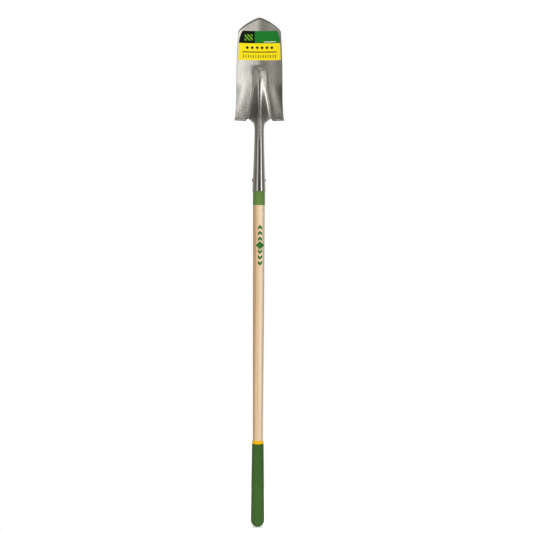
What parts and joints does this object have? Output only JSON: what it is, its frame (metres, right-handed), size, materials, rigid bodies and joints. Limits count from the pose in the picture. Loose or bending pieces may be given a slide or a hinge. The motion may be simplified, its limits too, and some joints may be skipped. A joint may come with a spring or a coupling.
{
  "type": "trenching shovel",
  "caption": "Long-handled trenching shovel: narrow pointed dished steel blade with turned steps, raised frog and riveted socket on a tapered wooden handle with a cushioned end grip.",
  "frame": {"origin": "on the handle's axis, in the middle of the straight stretch of wood that a wall clip grips", "axes": "+Z along the handle towards the point of the blade, -Y out of the hollow front of the blade, +X to the right seen from the front"},
  "size_m": [0.1436, 0.0589, 1.4576],
  "materials": {
    "blade_steel": "pressed and polished sheet steel, clear lacquer",
    "handle_wood": "clear lacquered ash, straight grain",
    "collar_plastic": "satin green sleeve",
    "rivet_steel": "dark plain steel, peened",
    "grip_rubber": "fine grained dark green soft rubber",
    "ring_rubber": "smooth yellow soft rubber",
    "label_film": "glossy printed film, yellow, green and black"
  },
  "bodies": {
    "root": {"blade": "blade_steel", "handle": "handle_wood", "collar": "collar_plastic", "rivet": "rivet_steel", "grip": "grip_rubber", "grip_ring": "ring_rubber", "blade_label": "label_film"}
  },
  "joints": []
}
